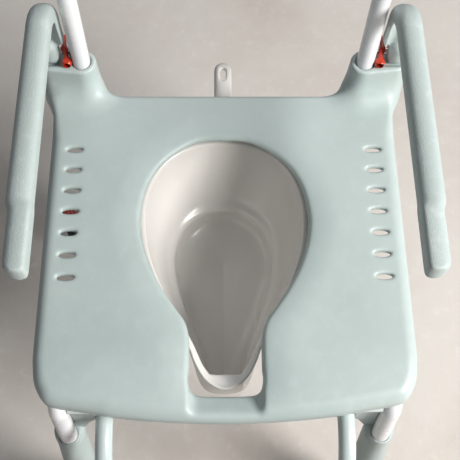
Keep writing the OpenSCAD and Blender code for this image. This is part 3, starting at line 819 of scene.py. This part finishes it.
def turned(at, direction):
    """A frame at a point, its Y along a level direction."""
    dx, dy = direction
    size = math.hypot(dx, dy)
    dx, dy = dx / size, dy / size
    return Matrix(((dy, dx, 0, at[0]), (-dx, dy, 0, at[1]), (0, 0, 1, at[2]), (0, 0, 0, 1)))


make(
    "back_rest", back_rest, (-213, 208, BACK[0][2] - 3), (213, 232, BACK[1][2] + 3), 1.8, GREEN,
    "frame", ["back_panel"],
)
make(
    "foot_board", foot_board, (-147, PLATE[0][1] - 3, PLATE[0][2] - 4),
    (147, PLATE[1][1] + 3, PLATE[1][2] + 3), 1.7, GREEN, "foot_plate", ["footplate"],
)
for corner in ("front_left", "front_right", "rear_left", "rear_right"):
    lo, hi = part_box("axle_" + corner)
    middle, pivot = (lo + hi) / 2, Vector(SWIVELS["castor_" + corner])
    heading = (middle.x - pivot.x, middle.y - pivot.y)
    own, at_axle = turned(pivot, heading), turned(middle, heading)
    # The forks take the darker green, painted shade like the other parts low under the seat.
    for name, field, low, high, step, place, material, body, slot in (
        ("fork", fork, (-27, -25, -118), (27, 58, 30), 1.3, own, GREEN_SHADED, "castor", "green_plastic"),
        ("pedal", pedal, (-28, 21, -36), (28, 101, -17), 1.1, own, RED, "brake", "red_plastic"),
        ("hub", hub, (-19, -48, -48), (19, 48, 48), 1.5, at_axle, GREY, "wheel", "grey_plastic"),
        ("tyre", tyre, (-18, -65, -65), (18, 65, 65), 1.7, at_axle, RUBBER, "wheel", "tyre"),
    ):
        make(
            f"{name}_part_{corner}", field, low, high, step, material,
            f"{body}_{corner}", [f"{name}_{corner}"], place,
        )

# CAD nodes shown as they are: tubes, pins and small hidden fittings.
KEPT = {
    "upright_": (WHITE, "white_paint"), "push_bar": (WHITE, "white_paint"), "leg_": (WHITE, "white_paint"),
    "rail_": (WHITE, "white_paint"), "rear_cross_tube": (WHITE, "white_paint"),
    "front_cross_tube": (GREEN_TUBE, "green_plastic"), "foot_tube_": (GREEN_TUBE, "green_plastic"),
    # The guides, clips and rails take the darker green, which paints in the shade under the seat.
    "rear_guide_": (GREEN_SHADED, "green_plastic"), "seat_clips": (GREEN_SHADED, "green_plastic"),
    "pan_rail_": (GREEN_SHADED, "green_plastic"), "back_clips": (GREEN_SHADED, "green_plastic"),
    "foot_plugs": (GREY, "grey_plastic"), "arm_lug_": (STEEL, "steel"), "arm_pin_": (STEEL, "steel"),
    "axle_": (STEEL, "steel"), "foot_hinge_bar": (STEEL, "steel"),
}
for name, node in frame["nodes"].items():
    for start, (material, slot_name) in KEPT.items():
        if name.startswith(start):
            dress(node, material)


# ---------------------------------------------------------------- camera, floor and light


def camera():
    """In front of the seat and high above it, looking down by 64.8 degrees and tilted a little."""
    down, yaw, roll = math.radians(64.82), -0.04404, 0.03692
    right = Vector((math.cos(yaw), math.sin(yaw), 0))
    level = Vector((-math.sin(yaw), math.cos(yaw), 0))
    ahead = level * math.cos(down) - Vector((0, 0, math.sin(down)))
    lower = -level * math.sin(down) - Vector((0, 0, math.cos(down)))
    x = right * math.cos(roll) - lower * math.sin(roll)
    y = -(right * math.sin(roll) + lower * math.cos(roll))
    data = bpy.data.cameras.new("camera")
    data.sensor_width, data.lens = 36.0, 65.8
    data.clip_end = 50.0
    cam = bpy.data.objects.new("camera", data)
    eye = Vector(ORIGIN) + Vector((-14.16, -481.2, 1031.0)) * MM
    cam.matrix_world = Matrix([(x[i], y[i], -ahead[i], eye[i]) for i in range(3)] + [(0, 0, 0, 1)])
    bpy.context.scene.collection.objects.link(cam)
    bpy.context.scene.camera = cam


def area_light(name, at, aim, size, power, colour):
    data = bpy.data.lights.new(name, "AREA")
    data.shape, data.size, data.energy, data.color = "DISK", size, power, colour
    lamp = bpy.data.objects.new(name, data)
    lamp.location = at
    lamp.rotation_euler = (Vector(aim) - Vector(at)).to_track_quat("-Z", "Y").to_euler()
    bpy.context.scene.collection.objects.link(lamp)


def floor():
    """Plain pale floor with a faint screed texture."""
    size = 6.0
    mesh = bpy.data.meshes.new("floor")
    corners = [(-size, -size, 0), (size, -size, 0), (size, size, 0), (-size, size, 0)]
    mesh.from_pydata(corners, [], [(0, 1, 2, 3)])
    obj = bpy.data.objects.new("floor", mesh)
    bpy.context.scene.collection.objects.link(obj)
    p = Paint("floor_screed", 0.6)
    cloud, fine = p.noise(1.6, 6.0, 0.6), p.noise(40.0, 6.0, 0.7)
    p.colours(
        (206, 200, 194),
        ((190, 180, 172), p.ramp(cloud, 0.42, 0.72)),
        ((220, 217, 213), p.ramp(fine, 0.5, 0.8, 0.0, 0.5)),
    )
    p.rough(fine, 0.1).bump(fine, 0.0006)
    mesh.materials.append(p.mat)


def world():
    w = bpy.data.worlds.new("studio")
    bpy.context.scene.world = w
    w.use_nodes = True
    back = w.node_tree.nodes["Background"]
    back.inputs["Color"].default_value = (0.93, 0.96, 1.0, 1.0)
    back.inputs["Strength"].default_value = 0.19


camera()
floor()
world()
area_light("key", (2.20, -0.95, 2.24), (0.0, 0.1, 0.45), 1.4, 146.0, (1.0, 0.985, 0.96))
area_light("fill", (0.4, 2.4, 2.4), (0.0, 0.0, 0.4), 2.0, 13.0, (0.95, 0.98, 1.0))
bpy.context.scene.view_settings.view_transform = "Standard"
